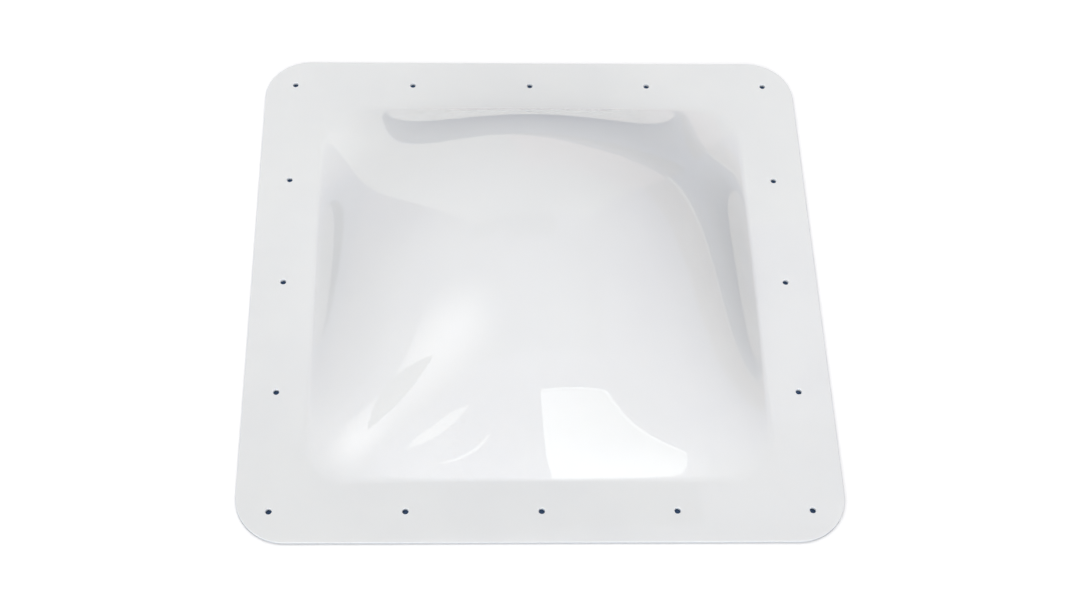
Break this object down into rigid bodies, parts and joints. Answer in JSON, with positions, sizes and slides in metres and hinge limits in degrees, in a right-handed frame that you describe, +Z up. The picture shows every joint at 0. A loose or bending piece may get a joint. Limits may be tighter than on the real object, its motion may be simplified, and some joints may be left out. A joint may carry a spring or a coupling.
{
  "type": "roof skylight dome",
  "caption": "Square one-piece roof dome in opal sheet: blown translucent dome inside a flat round-cornered flange drilled round its edge for screws.",
  "frame": {"origin": "centre of the flange underside, the face that sits on the roof", "axes": "+Z up through the crown of the dome; +X and +Y along the flange's sides"},
  "size_m": [0.4572, 0.4572, 0.0988],
  "materials": {
    "opal_sheet": "glossy translucent opal white acrylic or polycarbonate sheet"
  },
  "bodies": {
    "root": {"vent_dome": "opal_sheet"}
  },
  "joints": []
}
